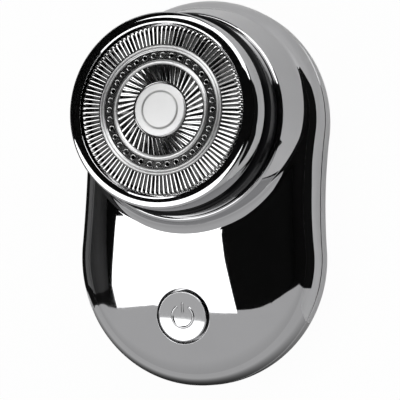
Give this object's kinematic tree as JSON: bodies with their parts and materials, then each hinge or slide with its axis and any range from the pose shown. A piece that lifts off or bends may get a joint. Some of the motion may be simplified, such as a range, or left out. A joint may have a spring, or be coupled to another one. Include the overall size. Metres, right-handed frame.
{
  "type": "electric shaver",
  "caption": "Small pocket electric shaver: chromed gourd-shaped case, raised round head with a slotted foil over a spinning cutter, and a round power button.",
  "frame": {"origin": "middle of the flat back of the case, in the plane the shaver lies on", "axes": "+Y along the case towards the head end, +Z out of the front face along the head's axis, +X to the right as seen from the front"},
  "size_m": [0.0442, 0.068, 0.0331],
  "materials": {
    "chrome_case": "bright chrome plating on moulded plastic",
    "chrome_button": "bright chrome rim and hollow face",
    "seam_rubber": "matt black rubber",
    "collar_gloss": "polished black plastic",
    "black_plastic": "fine grained black plastic",
    "drive_plastic": "off-white moulded plastic",
    "foil_steel": "polished stainless steel",
    "cap_steel": "turned and polished steel",
    "motor_steel": "zinc plated steel",
    "armature_metal": "laminated core with copper windings",
    "battery_wrap": "shrink wrap",
    "board_green": "solder mask"
  },
  "bodies": {
    "case": {"back_shell": "chrome_case", "front_shell": "chrome_case", "shell_gasket": "seam_rubber", "drive_seat": "black_plastic", "head_seal": "seam_rubber", "motor_can": "motor_steel", "motor_end_cap": "black_plastic", "motor_screws": "motor_steel", "battery": "battery_wrap", "circuit_board": "board_green", "board_screws": "motor_steel", "usb_c_socket": "motor_steel", "usb_c_tongue": "black_plastic", "switch_body": "black_plastic", "button_membrane": "seam_rubber"},
    "rotor": {"motor_shaft": "motor_steel", "motor_armature": "armature_metal", "drive_spindle": "drive_plastic"},
    "coupler": {"drive_coupler": "drive_plastic"},
    "head": {"head_cap": "chrome_case", "head_collar": "collar_gloss", "foil_retainer": "black_plastic"},
    "foil_unit": {"foil": "foil_steel", "foil_centre_cap": "cap_steel"},
    "cutter": {"rotary_cutter": "foil_steel", "cutter_hub": "drive_plastic"},
    "button": {"power_button": "chrome_button"},
    "plunger": {"switch_plunger": "drive_plastic"}
  },
  "joints": [
    {"name": "motor_spin", "type": "hinge", "parent": "case", "child": "rotor", "pos_m": [0, 0.01215, 0.017], "axis": [0, 0, 1], "continuous": true},
    {"name": "coupler_float", "type": "slide", "parent": "rotor", "child": "coupler", "axis": [0, 0, -1], "range_m": [0, 0.0008]},
    {"name": "head_pull", "type": "slide", "parent": "case", "child": "head", "axis": [0, 0, 1], "range_m": [0, 0.012]},
    {"name": "foil_float", "type": "slide", "parent": "head", "child": "foil_unit", "axis": [0, 0, -1], "range_m": [0, 0.0008], "stiffness_N_per_m": 700, "springref_m": -0.0004},
    {"name": "cutter_spin", "type": "hinge", "parent": "foil_unit", "child": "cutter", "pos_m": [0, 0.01215, 0.03], "axis": [0, 0, 1], "continuous": true},
    {"name": "button_press", "type": "slide", "parent": "case", "child": "button", "axis": [0, 0.176, -0.9844], "range_m": [0, 0.0005], "stiffness_N_per_m": 3000, "springref_m": -0.0002},
    {"name": "switch_press", "type": "slide", "parent": "case", "child": "plunger", "axis": [0, 0, -1], "range_m": [0, 0.0005]}
  ],
  "couplings": [
    {"joint": "cutter_spin", "follows": "motor_spin", "ratio": 1},
    {"joint": "coupler_float", "follows": "foil_float", "ratio": 1},
    {"joint": "switch_press", "follows": "button_press", "ratio": 0.98439}
  ]
}
